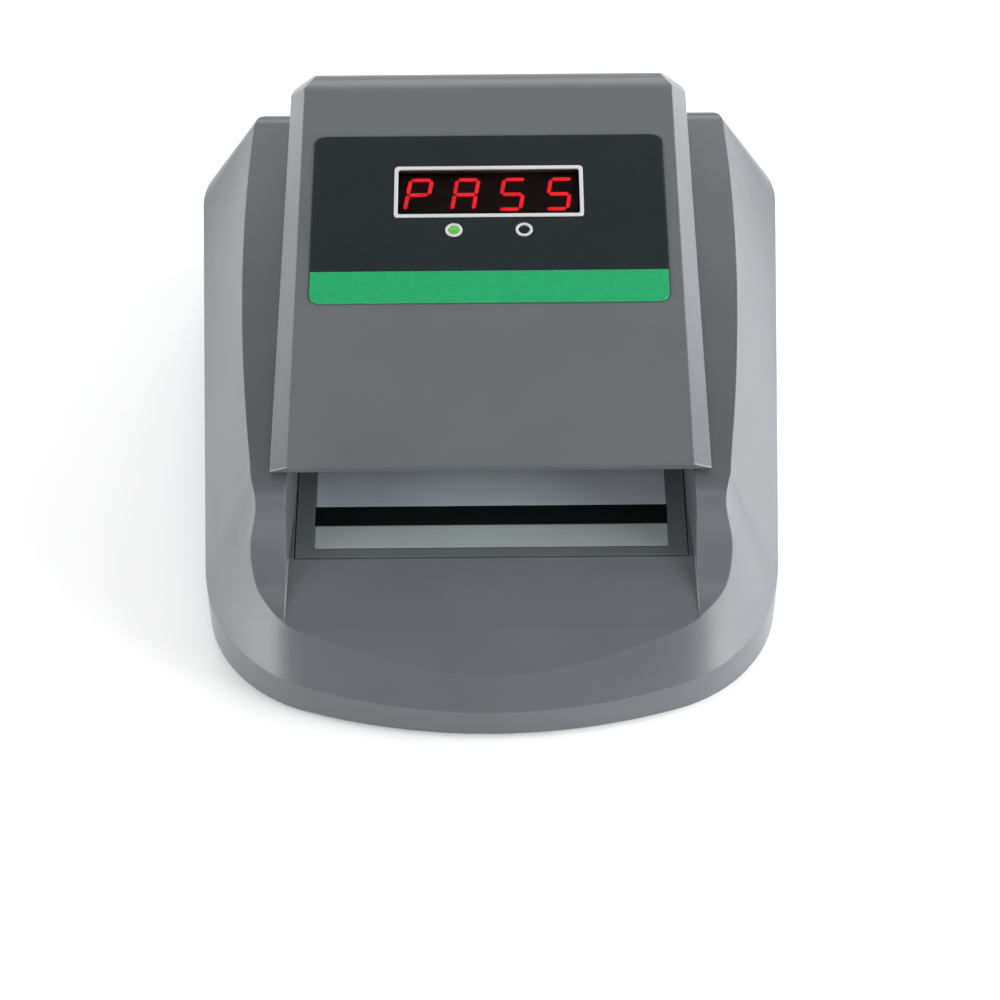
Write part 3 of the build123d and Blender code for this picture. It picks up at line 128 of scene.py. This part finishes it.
# ---------------------------------------------------------------- material helpers
class Nodes:
    """A material's node tree, with short calls for the nodes used here."""

    def __init__(self, name):
        self.material = bpy.data.materials.new(name)
        self.material.use_nodes = True
        self.tree = self.material.node_tree
        self.shader = self.tree.nodes["Principled BSDF"]
        self.coords = self.add("ShaderNodeTexCoord").outputs["Object"]

    def add(self, kind, **settings):
        """New node with the given properties."""
        node = self.tree.nodes.new(kind)
        for key, value in settings.items():
            setattr(node, key, value)
        return node

    def link(self, source, target):
        """Joins an output socket to an input socket."""
        self.tree.links.new(source, target)

    def drive(self, source, socket):
        """Joins an output socket to one of the shader's named inputs."""
        self.link(source, self.shader.inputs[socket])

    def noise(self, scale, detail, roughness, stretch=(1, 1, 1)):
        """Noise over the object's own coordinates, in features per metre."""
        mapping = self.add("ShaderNodeMapping")
        mapping.inputs["Scale"].default_value = stretch
        self.link(self.coords, mapping.inputs["Vector"])
        node = self.add("ShaderNodeTexNoise")
        node.inputs["Scale"].default_value = scale
        node.inputs["Detail"].default_value = detail
        node.inputs["Roughness"].default_value = roughness
        self.link(mapping.outputs["Vector"], node.inputs["Vector"])
        return node.outputs["Fac"]

    def ramp(self, source, band, start, end):
        """Maps source from the band's two ends to start..end."""
        node = self.add("ShaderNodeMapRange")
        node.inputs["From Min"].default_value = band[0]
        node.inputs["From Max"].default_value = band[1]
        node.inputs["To Min"].default_value = start
        node.inputs["To Max"].default_value = end
        self.link(source, node.inputs["Value"])
        return node.outputs["Result"]

    def mix_colour(self, factor, first, second):
        """Colour between two colours or sockets."""
        node = self.add("ShaderNodeMix", data_type="RGBA")
        for socket, value in (("Factor", factor), ("A", first), ("B", second)):
            target = [s for s in node.inputs if s.name == socket and s.enabled][0]
            if isinstance(value, bpy.types.NodeSocket):
                self.link(value, target)
            else:
                target.default_value = (*value, 1.0)
        return [s for s in node.outputs if s.enabled][0]

    def bump(self, height, strength, distance):
        """Bump from a height socket, chained onto any normal there is."""
        node = self.add("ShaderNodeBump")
        node.inputs["Strength"].default_value = strength
        node.inputs["Distance"].default_value = distance
        self.link(height, node.inputs["Height"])
        earlier = self.shader.inputs["Normal"].links
        if earlier:
            self.link(earlier[0].from_socket, node.inputs["Normal"])
        self.drive(node.outputs["Normal"], "Normal")


def shade(colour, factor):
    """A colour made lighter or darker."""
    return tuple(min(1.0, channel * factor) for channel in colour)


def edge_wear_and_highlight(nodes, colour, edge_tone, amount, radius):
    """Rounds sharp edges in the shading and blends a colour to an edge tone along them: worn shade on
    plastic, painted highlight on the panel film.
    """
    bevel = nodes.add("ShaderNodeBevel", samples=EDGE_SAMPLES)
    bevel.inputs["Radius"].default_value = radius * MM
    geometry = nodes.add("ShaderNodeNewGeometry")
    dot = nodes.add("ShaderNodeVectorMath", operation="DOT_PRODUCT")
    nodes.link(bevel.outputs["Normal"], dot.inputs[0])
    nodes.link(geometry.outputs["Normal"], dot.inputs[1])
    nodes.drive(bevel.outputs["Normal"], "Normal")
    edge = nodes.ramp(dot.outputs["Value"], EDGE_BAND, 0.0, amount)
    return nodes.mix_colour(edge, colour, edge_tone)


def plastic(name, colour, roughness, grain=0.12, variation=0.05, wear=0.25, edge=0.3):
    """Moulded plastic: fine spark-eroded grain, faint flow marks, slightly polished edges."""
    nodes = Nodes(name)
    flow = nodes.ramp(nodes.noise(*FLOW), MIDDLE_BAND, 0, 1)
    base = nodes.mix_colour(flow, shade(colour, 1 - variation), shade(colour, 1 + variation))
    base = edge_wear_and_highlight(nodes, base, shade(colour, 1.5), wear, edge)
    nodes.drive(base, "Base Color")
    smudge = nodes.ramp(nodes.noise(*SMUDGE), WIDE_BAND, roughness * 0.97, roughness * 1.03)
    nodes.drive(smudge, "Roughness")
    nodes.bump(nodes.noise(*GRAIN), grain, GRAIN_DEPTH)
    return nodes.material


def rubber(name, colour, roughness=0.72):
    """Soft rubber: matt, with a dusty bloom and fine pits."""
    nodes = Nodes(name)
    dust = nodes.noise(*DUST)
    bloom = nodes.mix_colour(nodes.ramp(dust, DUST_BAND, 0, 0.6), colour, shade(colour, 1.9))
    nodes.drive(bloom, "Base Color")
    nodes.drive(nodes.ramp(dust, WIDE_BAND, roughness - 0.08, roughness + 0.1), "Roughness")
    nodes.bump(nodes.noise(*PITS), 0.25, PIT_DEPTH)
    nodes.shader.inputs["Specular IOR Level"].default_value = 0.35
    return nodes.material


def metal(name, colour, roughness, stretch=ALONG_X):
    """Turned or drawn metal with fine streaks along its length."""
    nodes = Nodes(name)
    streak = nodes.noise(*STREAK, stretch)
    tone = nodes.mix_colour(nodes.ramp(streak, WIDE_BAND, 0, 1), shade(colour, 0.86), shade(colour, 1.08))
    nodes.drive(tone, "Base Color")
    nodes.drive(nodes.ramp(streak, WIDE_BAND, roughness * 0.75, roughness * 1.3), "Roughness")
    nodes.bump(streak, 0.08, GRAIN_DEPTH)
    nodes.shader.inputs["Metallic"].default_value = 1.0
    return nodes.material


def printed_film(name, colour, roughness, edge_tone):
    """Printed polyester overlay: even ink under a fine satin texture, with a painted highlight along its
    edges.
    """
    nodes = Nodes(name)
    ink = nodes.ramp(nodes.noise(*INK), MIDDLE_BAND, 0, 1)
    base = nodes.mix_colour(ink, shade(colour, 0.95), shade(colour, 1.06))
    # Painted highlight: a pale edge tone blended in along the film's edges stands in for light catching
    # them.
    base = edge_wear_and_highlight(nodes, base, edge_tone, 0.7, 0.12)
    nodes.drive(base, "Base Color")
    smear = nodes.ramp(nodes.noise(*SMEAR), WIDE_BAND, roughness * 0.85, roughness * 1.2)
    nodes.drive(smear, "Roughness")
    nodes.bump(nodes.noise(*FILM_GRAIN), 0.06, FILM_DEPTH)
    nodes.shader.inputs["Specular IOR Level"].default_value = 0.12
    return nodes.material


def glowing(name, colour, strength):
    """Lit diffuser: emission a little uneven, like the light of a small chip."""
    nodes = Nodes(name)
    cloud = nodes.ramp(nodes.noise(*CLOUD), WIDE_BAND, 0, 1)
    nodes.drive(nodes.mix_colour(cloud, shade(colour, 0.86), shade(colour, 1.35)), "Emission Color")
    nodes.shader.inputs["Emission Strength"].default_value = strength
    nodes.shader.inputs["Base Color"].default_value = (*shade(colour, 0.12), 1)
    nodes.shader.inputs["Roughness"].default_value = 0.35
    return nodes.material


def smoked_acrylic(name):
    """Thin red-black acrylic: lets the figures through and darkens the rest."""
    nodes = Nodes(name)
    haze = nodes.noise(*HAZE)
    nodes.shader.inputs["Base Color"].default_value = (0.50, 0.40, 0.40, 1)
    nodes.shader.inputs["Transmission Weight"].default_value = 1.0
    nodes.shader.inputs["IOR"].default_value = 1.02
    nodes.drive(nodes.ramp(haze, WIDE_BAND, 0.02, 0.05), "Roughness")
    return nodes.material


def circuit_board(name):
    """Green solder mask over a woven board, with tracks as lighter stripes."""
    nodes = Nodes(name)
    brick = nodes.add("ShaderNodeTexBrick")
    brick.inputs["Scale"].default_value = BOARD_SCALE
    brick.inputs["Color1"].default_value = BOARD_MASK[0]
    brick.inputs["Color2"].default_value = BOARD_MASK[1]
    brick.inputs["Mortar"].default_value = BOARD_TRACK
    brick.inputs["Mortar Size"].default_value = BOARD_TRACK_SIZE
    nodes.link(nodes.coords, brick.inputs["Vector"])
    nodes.drive(brick.outputs["Color"], "Base Color")
    nodes.bump(brick.outputs["Fac"], 0.2, BOARD_DEPTH)
    nodes.drive(nodes.ramp(nodes.noise(*BOARD_GLOSS), WIDE_BAND, 0.22, 0.36), "Roughness")
    return nodes.material


# ---------------------------------------------------------------- materials of the imported parts
# Base and hood are one plastic; the base's darker grey is painted shade, standing in for the shade on the
# deck beside the hood.
BASE_SHADED_GREY = (0.072, 0.079, 0.086)
HOOD_GREY = (0.096, 0.098, 0.107)
MATERIALS = {
    "base_casing": plastic("base_casing_shaded_plastic", BASE_SHADED_GREY, 0.30, grain=0.015, wear=0.15, edge=0.4),
    "hood_casing": plastic("hood_casing_plastic", HOOD_GREY, 0.33, grain=0.09, wear=0.2, edge=0.5),
    "underside": plastic("underside_plastic", (0.018, 0.019, 0.020), 0.55, grain=0.3),
    "foot_rubber": rubber("foot_rubber", (0.016, 0.016, 0.016)),
    "tray_plastic": plastic("tray_plastic", (0.086, 0.097, 0.102), 0.42),
    "light_cover": plastic("light_cover_plastic", (0.262, 0.305, 0.296), 0.35, grain=0.05, wear=0.1),
    "sensor_glass": plastic("sensor_glass", (0.003, 0.004, 0.004), 0.08, grain=0.0, wear=0.0, variation=0.2),
    "uv_cover": plastic("uv_cover_plastic", (0.32, 0.35, 0.39), 0.35, grain=0.05, wear=0.1),
    "sensor_black": plastic("sensor_black_plastic", (0.012, 0.012, 0.013), 0.5),
    "head_metal": metal("head_metal", (0.55, 0.55, 0.53), 0.3, ALONG_Y),
    "bush_nylon": plastic("bush_nylon", (0.66, 0.64, 0.57), 0.45),
    "shaft_steel": metal("shaft_steel", (0.60, 0.60, 0.61), 0.22),
    "roller_rubber": rubber("roller_rubber", (0.035, 0.036, 0.038)),
    "idler_rubber": rubber("idler_rubber", (0.22, 0.225, 0.22)),
    "pulley_plastic": plastic("pulley_plastic", (0.62, 0.60, 0.54), 0.4),
    "belt_rubber": rubber("belt_rubber", (0.012, 0.012, 0.012), 0.6),
    "motor_steel": metal("motor_steel", (0.52, 0.53, 0.54), 0.32, ACROSS_X),
    "board_green": circuit_board("board_green"),
    "chip_black": plastic("chip_black", (0.012, 0.012, 0.013), 0.45, grain=0.3),
    "capacitor_can": metal("capacitor_can", (0.62, 0.63, 0.65), 0.3, ROUND_CAN),
    "socket_white": plastic("socket_white", (0.62, 0.60, 0.52), 0.5),
    "jack_black": plastic("jack_black", (0.010, 0.010, 0.011), 0.4),
    "switch_black": plastic("switch_black", (0.012, 0.012, 0.013), 0.25, grain=0.06),
    "screw_steel": metal("screw_steel", (0.50, 0.50, 0.51), 0.34, SCREW_HEAD),
    # The last colour given to each film is its painted edge highlight.
    "panel_black": printed_film("panel_film_black", (0.0100, 0.0155, 0.0170), 0.42, (0.16, 0.17, 0.17)),
    "panel_green": printed_film("panel_film_green", (0.014, 0.285, 0.105), 0.42, (0.25, 0.55, 0.38)),
    "trim_light": plastic("trim_light", (0.50, 0.50, 0.50), 0.4, grain=0.04, wear=0.1),
    "smoked_window": smoked_acrylic("smoked_window"),
    "module_black": plastic("module_black", (0.004, 0.004, 0.004), 0.5),
    "lit_red": glowing("lit_red", (0.75, 0.017, 0.028), 2.0),
    "lit_green": glowing("lit_green", (0.105, 0.50, 0.060), 0.8),
    "lamp_dark": plastic("lamp_dark", (0.006, 0.006, 0.007), 0.18, grain=0.0, wear=0.0),
    "guide_plastic": plastic("guide_plastic", (0.030, 0.033, 0.035), 0.5),
    "spring_steel": metal("spring_steel", (0.58, 0.58, 0.58), 0.25),
}
SLOT_OF = {part["node"]: part["material_slot"] for part in RECORD["subparts"]}
CASING_BY_NODE = {"base_cover": "base_casing", "hood_cover": "hood_casing"}

ROUNDED_NODES = ("panel_face", "panel_stripe", "display_bezel")
ROUNDING_WIDTH = 0.12 * MM
ROUNDING_ANGLE = math.radians(35)
ROUNDING_SEGMENTS = 2


def paint_nodes():
    """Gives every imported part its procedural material."""
    for name, node in NODES.items():
        material = MATERIALS[CASING_BY_NODE.get(name, SLOT_OF[name])]
        node.data.materials.clear()
        node.data.materials.append(material)


def soften_edges():
    """Small rounded edges on the panel's film and the display's bezel, cut with a modifier."""
    for name in ROUNDED_NODES:
        bevel = NODES[name].modifiers.new("edge_rounding", "BEVEL")
        bevel.width = ROUNDING_WIDTH
        bevel.segments = ROUNDING_SEGMENTS
        bevel.limit_method = "ANGLE"
        bevel.angle_limit = ROUNDING_ANGLE
        bevel.use_clamp_overlap = True


# ---------------------------------------------------------------- stage
def add_floor():
    """Plain pale floor."""
    mesh = bpy.data.meshes.new("floor")
    build = bmesh.new()
    signs = ((-1, -1), (1, -1), (1, 1), (-1, 1))
    build.faces.new([build.verts.new((x * FLOOR_HALF, y * FLOOR_HALF, 0)) for x, y in signs])
    build.to_mesh(mesh)
    build.free()
    floor = bpy.data.objects.new("floor", mesh)
    bpy.context.collection.objects.link(floor)
    nodes = Nodes("floor_paper")
    tone = nodes.ramp(nodes.noise(*PAPER), WIDE_BAND, 0, 1)
    nodes.drive(nodes.mix_colour(tone, *FLOOR_TONES), "Base Color")
    nodes.shader.inputs["Roughness"].default_value = FLOOR_ROUGHNESS
    mesh.materials.append(nodes.material)


def add_world():
    """Soft surround: brightest below, dim from the horizon up."""
    world = bpy.data.worlds.new("studio")
    bpy.context.scene.world = world
    world.use_nodes = True
    tree = world.node_tree
    coords = tree.nodes.new("ShaderNodeTexCoord")
    split = tree.nodes.new("ShaderNodeSeparateXYZ")
    ramp = tree.nodes.new("ShaderNodeValToRGB")
    stops = ramp.color_ramp.elements
    stops[0].position = 0.0
    stops[0].color = WORLD_BELOW
    stops[1].position = 1.0
    stops[1].color = WORLD_ABOVE
    for place, level in WORLD_BANDS:
        stops.new(place).color = (level, level, level * WORLD_BLUE, 1)
    tree.links.new(coords.outputs["Generated"], split.inputs["Vector"])
    tree.links.new(split.outputs["Z"], ramp.inputs["Fac"])
    background = tree.nodes["Background"]
    tree.links.new(ramp.outputs["Color"], background.inputs["Color"])
    background.inputs["Strength"].default_value = WORLD_STRENGTH


add_camera()
add_floor()
add_world()
add_softboxes()
bpy.context.scene.view_settings.view_transform = "Standard"
paint_nodes()
soften_edges()
